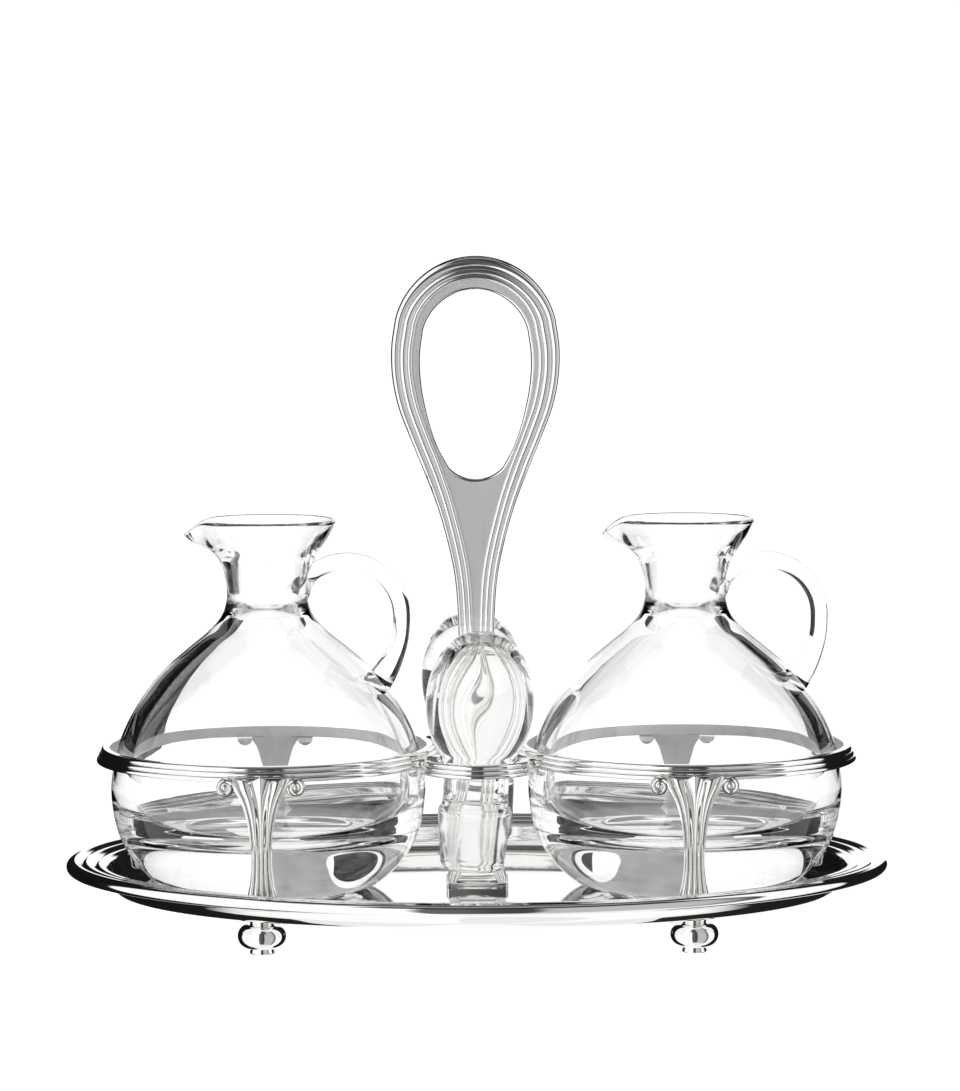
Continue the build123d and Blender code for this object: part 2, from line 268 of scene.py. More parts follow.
def lathe(line, steps=160, centre=(0.0, 0.0), shape=None, closed=False):
    """Points, faces and each face's band, of an outline turned about a vertical axis. shape may
    bend each point."""
    pole_radius = 1e-6
    points, rings = [], []
    for radius, height in line:
        if radius < pole_radius:
            rings.append([len(points)])
            points.append((centre[0], centre[1], height))
            continue
        rings.append(list(range(len(points), len(points) + steps)))
        for step in range(steps):
            angle = 2 * pi * step / steps
            x, y, z = radius * cos(angle), radius * sin(angle), height
            if shape:
                x, y, z = shape(x, y, z, angle)
            points.append((centre[0] + x, centre[1] + y, z))
    pairs = list(zip(rings, rings[1:]))
    if closed:
        pairs.append((rings[-1], rings[0]))
    faces, bands = [], []
    for band, (lower, upper) in enumerate(pairs):
        faces += band_faces(lower, upper, steps)
        bands += [band] * steps
    return points, faces, bands


def edge_faces(rows, columns, first_back):
    """Quads that join the border of a front grid of cells to the same border behind it."""
    size = columns + 1
    border = list(range(size))
    border += [row * size + columns for row in range(1, rows + 1)]
    border += [rows * size + column for column in reversed(range(columns))]
    border += [row * size for row in reversed(range(1, rows))]
    return [
        (here, first_back + here, first_back + after, after)
        for here, after in zip(border, border[1:] + border[:1])
    ]


def end_caps(count, total):
    """The two flat ends of a tube of total points with count round each station."""
    return [tuple(range(count)), tuple(total - 1 - i for i in range(count))]


def turned_over(faces):
    return [tuple(reversed(face)) for face in faces]


def merged(*shapes):
    """Several shapes, each as (points, faces, material slots), in one."""
    points, faces, slots = [], [], []
    for more, more_faces, more_slots in shapes:
        first = len(points)
        points += more
        faces += [tuple(first + i for i in face) for face in more_faces]
        slots += more_slots
    return points, faces, slots


def oval_point(angle, inset):
    """A point inset from the tray's oval edge, along the edge's normal."""
    x, y = HALF_LENGTH * cos(angle), HALF_WIDTH * sin(angle)
    nx, ny = cos(angle) / HALF_LENGTH, sin(angle) / HALF_WIDTH
    size = hypot(nx, ny)
    return x - nx / size * inset, y - ny / size * inset


def around_oval(line, steps=320):
    """Points and faces of a closed outline of (inset, height) taken round the tray's oval."""
    points = []
    for inset, height in line:
        for step in range(steps):
            x, y = oval_point(2 * pi * step / steps, inset)
            points.append((x, y, height))
    return points, grid_faces(len(line), steps, wrap_rows=True, wrap_columns=True)


# ---- materials ----
def node_material(name, metallic, color, roughness):
    material = bpy.data.materials.new(name)
    material.use_nodes = True
    shader = material.node_tree.nodes["Principled BSDF"]
    shader.inputs["Base Color"].default_value = (*color, 1.0)
    shader.inputs["Metallic"].default_value = metallic
    shader.inputs["Roughness"].default_value = roughness
    return material, shader


def noise(material, scale, detail, stretch=(1, 1, 1)):
    """A noise texture in object space, so that it doesn't slide, as its Fac socket."""
    nodes, links = material.node_tree.nodes, material.node_tree.links
    place = nodes.new("ShaderNodeTexCoord")
    mapping = nodes.new("ShaderNodeMapping")
    mapping.inputs["Scale"].default_value = stretch
    texture = nodes.new("ShaderNodeTexNoise")
    texture.inputs["Scale"].default_value = scale
    texture.inputs["Detail"].default_value = detail
    links.new(place.outputs["Object"], mapping.inputs["Vector"])
    links.new(mapping.outputs["Vector"], texture.inputs["Vector"])
    return texture.outputs["Fac"]


def bump(material, shader, value, distance, strength):
    """Lets a value from 0 to 1 raise the surface by up to a distance in metres."""
    nodes, links = material.node_tree.nodes, material.node_tree.links
    raised = nodes.new("ShaderNodeBump")
    raised.inputs["Distance"].default_value = distance
    raised.inputs["Strength"].default_value = strength
    links.new(value, raised.inputs["Height"])
    links.new(raised.outputs["Normal"], shader.inputs["Normal"])


def roughen(material, shader, value, low, high):
    """Lets a value from 0 to 1 vary the roughness between low and high."""
    nodes, links = material.node_tree.nodes, material.node_tree.links
    span = nodes.new("ShaderNodeMapRange")
    span.inputs["To Min"].default_value = low
    span.inputs["To Max"].default_value = high
    links.new(value, span.inputs["Value"])
    links.new(span.outputs["Result"], shader.inputs["Roughness"])


def polished_silver():
    """Mirror-polished plate: faint hand-polish haze and a barely uneven surface."""
    material, shader = node_material("PolishedSilver", 1.0, (0.93, 0.925, 0.915), 0.03)
    roughen(material, shader, noise(material, 55, 4), 0.015, 0.07)
    bump(material, shader, noise(material, 90, 2), 0.00002, 0.25)
    return material


def satin_silver():
    """Brushed grey recesses and backs."""
    material, shader = node_material("SatinSilver", 1.0, (0.96, 0.955, 0.95), 0.5)
    streaks = noise(material, 700, 3, (1.0, 1.0, 0.08))
    roughen(material, shader, streaks, 0.44, 0.60)
    bump(material, shader, streaks, 0.00004, 0.35)
    return material


def plain_steel():
    """Machined steel of the hidden studs, screw and washer."""
    material, shader = node_material("PlainSteel", 1.0, (0.55, 0.55, 0.56), 0.3)
    turning = noise(material, 900, 2, (0.05, 0.05, 1.0))
    roughen(material, shader, turning, 0.22, 0.45)
    bump(material, shader, turning, 0.00003, 0.4)
    return material


def glass_material(name, roughness):
    material, shader = node_material(name, 0.0, (1.0, 1.0, 1.0), roughness)
    shader.inputs["Transmission Weight"].default_value = 1.0
    shader.inputs["IOR"].default_value = 1.45
    return material, shader


def crystal():
    """Clear crystal with the faint waviness of mouth-blown glass."""
    material, shader = glass_material("Crystal", 0.0)
    bump(material, shader, noise(material, 28, 1), 0.0002, 0.12)
    return material


def ground_crystal():
    """The ground taper: a fine vertical grain over clear glass."""
    material, shader = glass_material("GroundCrystal", 0.12)
    grain = noise(material, 900, 3, (1.0, 1.0, 0.12))
    roughen(material, shader, grain, 0.05, 0.2)
    bump(material, shader, grain, 0.00005, 0.35)
    return material


POLISHED = polished_silver()
SATIN = satin_silver()
STEEL = plain_steel()
CRYSTAL = crystal()
GROUND = ground_crystal()


# ---- tray and its moulding ----
def make_tray():
    edge, flange, under_flange = 1.7, 20.35, RIM_BOTTOM + 0.05
    wall_top, wall_foot, floor_edge = 13.9, 18.0, 26.0
    top = joined(
        [(edge, under_flange), (edge, flange), (wall_top, flange)],
        smooth([(wall_top, flange), (14.7, 17.6), (15.6, 15.0), (16.6, 13.6),
                (wall_foot, FLOOR)], 8),
        [(wall_foot + 1.2, FLOOR), (floor_edge, FLOOR)],
    )
    under = joined(
        [(floor_edge, FLOOR_UNDER), (22.2, FLOOR_UNDER)],
        smooth([(20.8, FLOOR_UNDER), (17.6, 12.4), (15.2, 14.4), (13.2, 17.0),
                (11.2, under_flange)], 8),
        [(3.0, under_flange)],
    )
    steps = 320
    points, faces = around_oval(joined(top, under), steps)
    # Two flat ovals, the floor and its underside, take the place of the band between them.
    gap = len(top) - 1
    faces = [face for index, face in enumerate(faces) if index // steps != gap]
    faces.append(tuple(gap * steps + i for i in range(steps)))
    faces.append(tuple((gap + 1) * steps + i for i in reversed(range(steps))))
    piece = new_piece("Tray", points, faces, [POLISHED], sharp=40)
    finish_piece(piece, STAND, "silver_tray", "tray")


def make_tray_rim():
    edge, flange, inner = 1.6, 20.4, 14.0
    shoulder, inner_top = (1.8, RIM_TOP - 0.25), (inner, 20.8)
    first_groove, second_groove = (5.2, 22.2), (9.7, 21.5)
    line = joined(
        [(edge, flange), (edge, RIM_BOTTOM)],
        arc((edge, RIM_BOTTOM), (0.0, RIM_BOTTOM + 1.9), shoulder, 16),
        arc(shoulder, (3.6, RIM_TOP), first_groove, 10),
        arc(first_groove, (7.4, 22.95), second_groove, 12),
        arc(second_groove, (11.8, 22.15), inner_top, 12),
        [(inner, flange)],
    )
    points, faces = around_oval(line)
    piece = new_piece("TrayRim", points, faces, [POLISHED], sharp=28)
    finish_piece(piece, STAND, "silver_moulding", "tray_rim")


# ---- ball feet ----
def make_foot(corner, x_side, y_side):
    pad, neck_low, neck_high, collar = (3.7, 0), (4.0, 1.8), (4.4, 10.2), (4.5, 11.3)
    pad_edge, ball_middle = (4.1, 0.8), 6.0
    line = joined(
        [(0, 0), pad],
        arc(pad, (4.1, 0.35), pad_edge, 4),
        arc(pad_edge, (3.9, 1.3), neck_low, 4),
        arc(neck_low, (BALL_RADIUS, ball_middle), neck_high, 26),
        arc(neck_high, (3.9, 10.8), collar, 6),
        [(collar[0], FLOOR_UNDER), (0, FLOOR_UNDER)],
    )
    points, faces, _ = lathe(line, 64, (x_side * FOOT_X, y_side * FOOT_Y))
    piece = new_piece("BallFoot_" + corner, points, faces, [POLISHED], sharp=30)
    finish_piece(piece, STAND, "silver_turned", "foot_" + corner)


# ---- legs ----
# Half widths, and how far out the front and the back stand, as (height, value).
LEG_WIDTHS = smooth([
    (13.0, 6.1), (18.8, 4.8), (24.7, 3.8), (30.0, 3.4), (36.0, 3.55), (44.4, 4.6), (50.9, 6.6),
    (55.0, 8.8), (58.9, 10.6),
])
LEG_FRONT = smooth([(13.0, 61.3), (21.0, 59.6), (30.0, 58.9), (44.0, 60.0), (58.9, 61.2)])
LEG_BACK = smooth([(13.0, 51.6), (20.0, 54.4), (30.0, 56.0), (44.0, 57.2), (58.9, 57.6)])
LEAF_EDGE = 0.36
FILLET_EDGE = 0.80
VOLUTE_X, VOLUTE_Z, VOLUTE_RADIUS = 11.6, 55.6, 3.25


def leg_relief(across, height):
    """How far the carved front stands back, for a place across the leg (-1 to 1) and a height."""
    leaves_start, blend = 32.0, 5.0
    fade = ease((height - leaves_start) / blend)
    return fade * leaf_relief(abs(across)) + (1 - fade) * palmette_relief(across)


def leaf_relief(side):
    """Three leaves: a roof-ridged middle one, two rounded side ones, and a fillet at each edge."""
    ridge, deep, leaf_crown, fillet_crown = 0.1, 2.1, 1.8, 1.5
    if side < LEAF_EDGE:
        return ridge + (deep - ridge) * (side / LEAF_EDGE) ** 1.3
    if side < FILLET_EDGE:
        part = (side - LEAF_EDGE) / (FILLET_EDGE - LEAF_EDGE)
        return deep - leaf_crown * sqrt(max(0.0, 1 - (1.9 * part - 1.0) ** 2))
    part = (side - FILLET_EDGE) / (1 - FILLET_EDGE)
    return deep - fillet_crown * sin(pi * min(part, 0.62))


def palmette_relief(across):
    """Rounded lobes fanning out to the floor."""
    lobes, deep, crown = 5, 1.9, 1.7
    part = ((across + 1) / 2 * lobes) % 1.0
    return deep - crown * sqrt(max(0.0, 1 - (2 * part - 1) ** 2))


def leg_top(across):
    """The scalloped top line: a pointed central leaf and two side leaves."""
    side, notch, rise = abs(across), 2.2, 1.9
    if side < LEAF_EDGE:
        return LEG_TOP - notch * (side / LEAF_EDGE) ** 1.5
    part = (side - LEAF_EDGE) / (1 - LEAF_EDGE)
    return LEG_TOP - notch + rise * sin(pi * min(part * 1.2, 1.0) / 2)


def leg_plate():
    """Front, back and edges of the leg as one closed grid, centred on x = 0, facing -Y."""
    rows, columns, round_off = 84, 110, 0.9
    front, back = [], []
    for row in range(rows + 1):
        for column in range(columns + 1):
            across = 2 * column / columns - 1
            height = FLOOR + (leg_top(across) - FLOOR) * row / rows
            x = across * curve_value(LEG_WIDTHS, height)
            carved = round_off * across ** 2 + leg_relief(across, height)
            y = curve_value(LEG_FRONT, height) - carved
            front.append((x, -y, height))
            back.append((x, -curve_value(LEG_BACK, height), height))
    grid = grid_faces(rows + 1, columns + 1)
    behind = turned_over(grid_faces(rows + 1, columns + 1, first=len(front)))
    edges = edge_faces(rows, columns, len(front))
    slots = [0] * len(grid) + [1] * len(behind) + [0] * len(edges)
    return front + back, grid + behind + edges, slots


def scroll_rim(side):
    """A round wire that winds in towards the volute's eye and gets thinner on the way."""
    turns, stations, around = 1.45, 70, 12
    start_angle, wire_radius, forwards = radians(150), 0.68, 60.3
    points = []
    for station in range(stations + 1):
        part = station / stations
        angle = start_angle - 2 * pi * turns * part
        away = (VOLUTE_RADIUS - 0.62) * (1 - 0.62 * part)
        wire = wire_radius * (1 - 0.35 * part)
        for step in range(around):
            turn = 2 * pi * step / around
            reach = away + wire * cos(turn)
            points.append((
                side * (VOLUTE_X + reach * cos(angle)),
                -(forwards + wire * 1.3 * sin(turn) - 0.3 * part),
                VOLUTE_Z + reach * sin(angle),
            ))
    faces = grid_faces(stations + 1, around, wrap_columns=True)
    if side < 0:
        faces = turned_over(faces)
    return points, faces, [0] * len(faces)


def on_volute(side, line, steps, forwards):
    """A small turned shape at the middle of a volute, its axis towards the front."""
    turned, faces, _ = lathe(line, steps)
    points = [(side * VOLUTE_X + x, -(forwards + z), VOLUTE_Z + y) for x, y, z in turned]
    return points, turned_over(faces), [0] * len(faces)


def volute(side):
    """A scroll: a spiral rim that winds in to a round eye, on a dished disc."""
    eye = joined(arc((0, 1.05), (0.8, 0.75), (1.1, 0.0), 8), [(1.1, -2.6), (0, -2.6)])
    edge, back = VOLUTE_RADIUS - 0.25, -2.7
    disc = [(0, 0.0), (VOLUTE_RADIUS - 0.9, 0.1), (edge, 0.0), (edge, back), (0, back)]
    return merged(scroll_rim(side), on_volute(side, eye, 24, 59.9), on_volute(side, disc, 40, 59.3))


def make_leg(corner, x_side, y_side):
    points, faces, slots = merged(leg_plate(), *[volute(side) for side in SIDES.values()])
    placed = [(x_side * FOOT_X + x, y * (-y_side), z) for x, y, z in points]
    if y_side > 0:
        faces = turned_over(faces)
    piece = new_piece("Leg_" + corner, placed, faces, [POLISHED, SATIN], slots, sharp=32)
    finish_piece(piece, STAND, "silver_cast", "leg_" + corner)


# ---- rings ----
def ring_line(outer, inner, top, bottom, step):
    """The section of a ring: three reeds that step outwards as they go down, and a plain inside."""
    bulge = 0.55
    first = (outer - bulge - 2 * step, top)
    last = (outer - bulge, bottom)
    return joined(
        reed_row(first, last, 3, bulge),
        [(inner + 0.2, bottom), (inner, bottom + 0.2), (inner, top - 0.15), (inner + 0.15, top)],
    )


def make_ring(side, x_side):
    thickness, reed_step = 4.8, 1.15
    line = ring_line(RING_OUTER, RING_OUTER - thickness, RING_TOP, RING_BOTTOM, reed_step)
    points, faces, bands = lathe(line, 256, (x_side * CARAFE_X, 0), closed=True)
    inside = len(line) - 3
    slots = [1 if band == inside else 0 for band in bands]
    piece = new_piece("Ring_" + side, points, faces, [POLISHED, SATIN], slots, sharp=30)
    finish_piece(piece, STAND, "silver_moulding", side + "_ring")


def small_ring_line():
    """The section of a stopper's ring: three reeds outside, and inside a bore over a thin shelf."""
    shelf_hole, shelf, bore = 13.3, 1.0, 16.2
    bulge, slope, rounding = 0.5, 2.1, 0.2
    under = SMALL_TOP - shelf
    return joined(
        reed_row((SMALL_OUTER - bulge - slope, SMALL_TOP), (SMALL_OUTER - bulge, SMALL_BOTTOM),
                 3, bulge),
        [(bore, SMALL_BOTTOM), (bore, under), (shelf_hole + rounding, under)],
        arc((shelf_hole + rounding, under), (shelf_hole, SMALL_TOP - shelf / 2),
            (shelf_hole + rounding, SMALL_TOP), 6),
    )


def bridge(x_side, y_side):
    """The short waisted bar from a stopper's ring towards a large ring."""
    stations, around = 9, 16
    start, length = SMALL_OUTER - 2.2, 4.0
    narrow, flare, half_height, middle_height = 2.4, 1.6, 1.5, SMALL_BOTTOM + 1.7
    dx, dy = x_side * CARAFE_X, -y_side * STOPPER_Y
    span = hypot(dx, dy)
    ax, ay = dx / span, dy / span
    points = []
    for station in range(stations):
        part = station / (stations - 1)
        reach = start + length * part
        half = narrow + flare * (2 * part - 1) ** 2
        for turn in range(around):
            angle = 2 * pi * turn / around
            across = half * cos(angle)
            points.append((
                ax * reach - ay * across,
                y_side * STOPPER_Y + ay * reach + ax * across,
                middle_height + half_height * sin(angle),
            ))
    faces = turned_over(grid_faces(stations, around, wrap_columns=True))
    return points, faces, [0] * len(faces)


def make_small_ring(end, y_side):
    points, faces, _ = lathe(small_ring_line(), 160, (0, y_side * STOPPER_Y), closed=True)
    bridges = [bridge(x_side, y_side) for x_side in SIDES.values()]
    points, faces, _ = merged((points, faces, [0] * len(faces)), *bridges)
    piece = new_piece("StopperRing_" + end, points, faces, [POLISHED], sharp=30)
    finish_piece(piece, STAND, "silver_moulding", end + "_stopper_ring")


# ---- loop handle ----
# Outlines are (sideways, height). Tables by height give the width of the three reeds, the share of
# it that the outer and the inner reed take, and how far they stand out.
HANDLE_SIDE = [(10.2, 15.6), (8.9, 22.0), (7.9, 30.0), (7.2, 40.0), (6.3, 60.0), (6.1, 85.0),
               (6.3, 104.0), (7.4, 119.0), (9.8, 131.0), (13.2, 143.0), (17.7, 155.0),
               (22.5, 166.8), (26.3, 177.0), (28.3, 187.0), (28.6, 197.0), (27.3, 206.5)]
OPENING_SIDE = [(9.2, 156.6), (13.0, 163.8), (16.0, 173.0), (18.2, 184.0), (18.7, 194.0),
                (17.6, 203.0)]
OPENING_TOP = 216.4
OPENING_BOTTOM = 152.4
OPENING_MIDDLE = 185.0
REEDS_WIDTH = [(15.6, 3.2), (22.0, 4.4), (32.0, 5.2), (60.0, 5.1), (104.0, 5.2), (134.0, 5.6),
               (160.0, 6.5), (186.0, 7.2), (206.0, 7.6), (228.0, 8.0)]
OUTER_REED = [(15.6, 0.34), (119.0, 0.35), (160.0, 0.39), (206.0, 0.42), (228.0, 0.52)]
INNER_REED = [(15.6, 0.33), (119.0, 0.31), (160.0, 0.25), (206.0, 0.23), (228.0, 0.20)]
HANDLE_DEPTH = [(15.6, 9.7), (20.0, 8.0), (28.0, 5.6), (46.0, 3.6), (228.0, 3.6)]
WEB_HALF = 2.3
WEB_TUCK = 1.0
REED_LEAN = 72.0
STRIP_TOP = 98.0


def half_round(start, width, crown, outermost=False):
    """One reed across the front: a round back whose flanks lean REED_LEAN at the grooves. The
    outermost one's outer flank runs on down to the middle."""
    lean, per = radians(REED_LEAN), 8
    lift = width / 2 * (1 - cos(lean)) / sin(lean)
    line = []
    for step in range(-per, per + 1):
        turn = lean * step / per
        forward = crown - lift * (1 - cos(turn)) / (1 - cos(lean))
        if outermost and step < 0:
            forward = crown * sqrt(1 - (step / per) ** 2)
        line.append((start + width / 2 * (1 + sin(turn) / sin(lean)), forward))
    return line


def moulding_section(width, outer_part, inner_part, depth):
    """The moulding's closed section as (inwards, forwards): three reeds in front and behind."""
    outer, inner, inner_step = width * outer_part, width * inner_part, 0.3
    middle = width - outer - inner
    front = joined(
        half_round(0.0, outer, depth, outermost=True),
        half_round(outer, middle, depth),
        half_round(outer + middle, inner, depth - inner_step),
    )
    return front + [(inwards, -forward) for inwards, forward in reversed(front[1:])]


def handle_path():
    """Stations along the outline, from the right of the base over the top to the left."""
    right = smooth(HANDLE_SIDE, 6)
    last_x, last_z = HANDLE_SIDE[-1]
    over = arc((last_x, last_z), (0.0, HANDLE_TOP), (-last_x, last_z), 48)
    left = [(-x, z) for x, z in reversed(right)]
    return joined(right, over, left)


def handle_reeds():
    """The reeded moulding, up one side of the handle, over the top and down the other."""
    path = handle_path()
    points = []
    for index, (x, z) in enumerate(path):
        dx, dz = tangent(path, index)
        section = moulding_section(
            table_value(REEDS_WIDTH, z), table_value(OUTER_REED, z), table_value(INNER_REED, z),
            table_value(HANDLE_DEPTH, z),
        )
        for inwards, forwards in section:
            points.append((x - dz * inwards, -forwards, z + dx * inwards))
    count = len(section)
    faces = grid_faces(len(path), count, wrap_columns=True) + end_caps(count, len(points))
    return points, faces, [0] * len(faces)


def under_reeds(height):
    """Half the width of the web where it runs in under the reeds, at a height on the stem."""
    side = smooth(HANDLE_SIDE, 6)
    for (x0, z0), (x1, z1) in zip(side, side[1:]):
        if z0 <= height <= z1:
            outer = x0 + (x1 - x0) * (height - z0) / (z1 - z0)
            lean = hypot(1, (x1 - x0) / (z1 - z0))
            return outer - (table_value(REEDS_WIDTH, height) - WEB_TUCK) * lean
    return 0.0


def web_edge():
    """The web's outer boundary, hidden under the reeds, from the foot of the web round to it."""
    path = handle_path()
    edge = []
    for index, (x, z) in enumerate(path):
        if z < STRIP_TOP + 1.0:
            continue
        dx, dz = tangent(path, index)
        inwards = table_value(REEDS_WIDTH, z) - WEB_TUCK
        edge.append((x - dz * inwards, z + dx * inwards))
    half = under_reeds(STRIP_TOP)
    return [(half, STRIP_TOP)] + edge + [(-half, STRIP_TOP)]


def opening_line():
    right = smooth(OPENING_SIDE, 6)
    last_x, last_z = OPENING_SIDE[-1]
    first_x, first_z = OPENING_SIDE[0]
    over = arc((last_x, last_z), (0.0, OPENING_TOP), (-last_x, last_z), 30)
    under = arc((-first_x, first_z), (0.0, OPENING_BOTTOM), (first_x, first_z), 20)
    return joined(right, over, [(-x, z) for x, z in reversed(right)], under)[:-1]


def reach_to(line, angle):
    """How far a ray from the opening's middle goes before it meets a closed line."""
    dx, dz = cos(angle), sin(angle)
    best = None
    for (x0, z0), (x1, z1) in zip(line, line[1:] + line[:1]):
        ex, ez = x1 - x0, z1 - z0
        cross = dx * ez - dz * ex
        if abs(cross) < 1e-9:
            continue
        z0 -= OPENING_MIDDLE
        away = (x0 * ez - z0 * ex) / cross
        along = (x0 * dz - z0 * dx) / cross
        if away > 0 and -1e-6 <= along <= 1 + 1e-6:
            best = away if best is None else max(best, away)
    return best


def web_column(near, far):
    """One spoke of the web from the opening outwards, in front and back: (reach, forwards)."""
    rolled = [(0.0, 0.0), (0.0, 1.2), (0.12, 1.75), (0.45, 2.15), (0.9, WEB_HALF), (1.6, WEB_HALF)]
    flat_steps, full_roll = 8, 4.0
    span = far - near
    scale = min(1.0, span / full_roll)
    start = rolled[-1][0] * scale
    flat = [near + start + (span - start) * (i + 1) / flat_steps for i in range(flat_steps)]
    column = [(near + out * scale, forward) for out, forward in rolled]
    column += [(reach, WEB_HALF) for reach in flat]
    column += [(reach, -WEB_HALF) for reach in reversed(flat)]
    column += [(near + out * scale, -forward) for out, forward in reversed(rolled[1:])]
    return column


def web():
    """The recessed web and the flat band that goes on round the opening, with a rolled edge."""
    outer, inner = web_edge(), opening_line()
    half, spokes = under_reeds(STRIP_TOP), 240
    foot = [atan2(STRIP_TOP - OPENING_MIDDLE, x) for x in (-half, -half / 2, 0, half / 2, half)]
    angles = sorted([2 * pi * i / spokes - pi for i in range(spokes)] + foot)
    points = []
    for angle in angles:
        column = web_column(reach_to(inner, angle), reach_to(outer, angle))
        for reach, forward in column:
            points.append((reach * cos(angle), -forward, OPENING_MIDDLE + reach * sin(angle)))
    count, rolled_edge = len(column), 4
    faces = grid_faces(len(angles), count, wrap_rows=True, wrap_columns=True)
    slots = [
        0 if min(index % count, count - 1 - index % count) < rolled_edge else 1
        for index in range(len(faces))
    ]
    return points, faces, slots


def strip(bottom, top, depth_table, rows):
    """A flat infill between the two mouldings of the stem, front and back."""
    columns = 8
    points = []
    for sign in (-1, 1):
        for row in range(rows + 1):
            height = bottom + (top - bottom) * row / rows
            half, depth = under_reeds(height), table_value(depth_table, height)
            for column in range(columns + 1):
                points.append(((2 * column / columns - 1) * half, sign * depth, height))
    first_back = (rows + 1) * (columns + 1)
    faces = grid_faces(rows + 1, columns + 1)
    faces += grid_faces(rows + 1, columns + 1, first=first_back)
    faces += edge_faces(rows, columns, first_back)
    return points, faces, [0] * len(faces)


def plinth():
    """The square base plate with rounded upper edges."""
    rounding, corner, per_corner = 0.5, 0.8, 6
    levels = [(0.0, FLOOR), (0.0, PLINTH_TOP - rounding)]
    levels += [
        (rounding * (1 - cos(radians(a))), PLINTH_TOP - rounding + rounding * sin(radians(a)))
        for a in (22.5, 45, 67.5, 90)
    ]
    points = []
    for inset, height in levels:
        for quarter in range(4):
            cx = (PLINTH_HALF - corner) * (1 if quarter in (0, 3) else -1)
            cy = (PLINTH_HALF - corner) * (1 if quarter in (0, 1) else -1)
            for step in range(per_corner):
                angle = pi / 2 * (quarter + step / (per_corner - 1))
                radius = corner - inset
                points.append((cx + radius * cos(angle), cy + radius * sin(angle), height))
    around = 4 * per_corner
    faces = grid_faces(len(levels), around, wrap_columns=True)
    faces.append(tuple(reversed(range(around))))
    faces.append(tuple((len(levels) - 1) * around + i for i in range(around)))
    return points, faces, [0] * len(faces)


def make_handle():
    strip_foot, strip_rows = 15.0, 70
    strip_depth = [(15.6, 8.9), (18.0, 7.2), (22.0, 5.4), (28.0, 3.8), (36.0, WEB_HALF)]
    infill = strip(strip_foot, STRIP_TOP, strip_depth, strip_rows)
    points, faces, slots = merged(handle_reeds(), web(), infill, plinth())
    piece = new_piece("LoopHandle", points, faces, [POLISHED, SATIN], slots, sharp=30)
    finish_piece(piece, STAND, "silver_cast", "handle")


# ---- glass ----
SPOUT_REACH = 4.6
SPOUT_DROP = 4.6
SPOUT_START = 124.0
SPOUT_SPREAD = 0.30
TAPER_TOP, TAPER_TOP_RADIUS = 124.5, 12.3
TAPER_BOTTOM, TAPER_BOTTOM_RADIUS = 107.0, 10.6


def spout(x, y, z, angle):
    """Draws the rim out and down into a pouring lip at -X."""
    lift = ease((z - SPOUT_START) / (MOUTH_TOP - SPOUT_START)) ** 1.4
    off = atan2(sin(angle - pi), cos(angle - pi))
    pull = exp(-(off / SPOUT_SPREAD) ** 2)
    radius = hypot(x, y)
    scale = (radius + SPOUT_REACH * lift * pull) / radius
    return x * scale, y * scale, z - SPOUT_DROP * lift * pull


def taper(start, end, steps=10):
    """A straight ground face from start to end, in even steps."""
    return [
        tuple(a + (b - a) * i / steps for a, b in zip(start, end)) for i in range(steps + 1)
    ]


def carafe_line():
    """The carafe's section, from the middle of its base, up the outside and down the inside. lift
    keeps the base just clear of the tray's floor."""
    base, lift, hollow_height = 32.0, 0.03, 0.6
    outside = smooth([
        (base, FLOOR + lift), (38.2, 15.6), (44.0, 20.6), (48.4, 26.6), (51.5, 33.5), (53.4, 44.0),
        (53.3, 51.0), (50.7, 63.0), (47.3, 71.0), (43.0, 78.2), (38.4, 84.6), (33.0, 90.2),
        (26.2, 96.0), (19.9, 101.2), (15.7, 106.0), (13.9, 111.2), (13.8, 116.5), (15.0, 122.2),
        (17.9, 128.2), (21.2, 133.3), (23.2, 137.4),
    ], 6)
    rim = (22.4, MOUTH_TOP)
    taper_top = (TAPER_TOP_RADIUS, TAPER_TOP)
    taper_bottom = (TAPER_BOTTOM_RADIUS, TAPER_BOTTOM)
    lip = arc((23.2, 137.4), (23.35, 138.6), rim, 5)
    mouth = smooth([rim, (21.8, 138.0), (20.0, 135.0), (16.4, 130.6), (13.4, 127.0), taper_top], 5)
    cavity = smooth([
        taper_bottom, (10.9, 104.8), (12.6, 101.6), (17.4, 97.2), (22.8, 92.6), (28.8, 87.2),
        (34.2, 81.6), (39.0, 75.2), (42.6, 69.0), (45.6, 61.0), (47.1, 52.0), (46.8, 44.0),
        (44.2, 38.0), (38.6, 33.8), (30.0, 32.2), (15.0, 31.4), (0.0, 31.1),
    ], 6)
    hollow_top = FLOOR + hollow_height
    hollow = [(0.0, hollow_top), (base - 6.0, hollow_top), (base - 2.5, FLOOR + lift)]
    return joined(hollow, outside, lip, mouth, taper(taper_top, taper_bottom), cavity)


def handle_tube():
    """The applied glass loop as a closed tube whose ends spread on to the neck and shoulder."""
    centre_x, centre_z, radius = 27.0, 106.0, 18.6
    thin, swell, wide, around = 2.75, 0.25, 3.5, 28
    over = [
        (centre_x + radius * cos(radians(a)), centre_z + radius * sin(radians(a)))
        for a in range(156, -1, -12)
    ]
    path = smooth([*over, (45.0, 98.0), (42.4, 91.0), (38.6, 84.6), (36.2, 81.6)], 5)
    points = []
    for index, (x, z) in enumerate(path):
        dx, dz = tangent(path, index)
        part = index / (len(path) - 1)
        flare = 1 + 0.55 * ease((0.14 - part) / 0.14) + 0.75 * ease((part - 0.80) / 0.20)
        for step in range(around):
            turn = 2 * pi * step / around
            reach = (thin + swell * sin(pi * part)) * flare * cos(turn)
            points.append((x - dz * reach, wide * flare * sin(turn), z + dx * reach))
    faces = grid_faces(len(path), around, wrap_columns=True) + end_caps(around, len(points))
    return points, faces


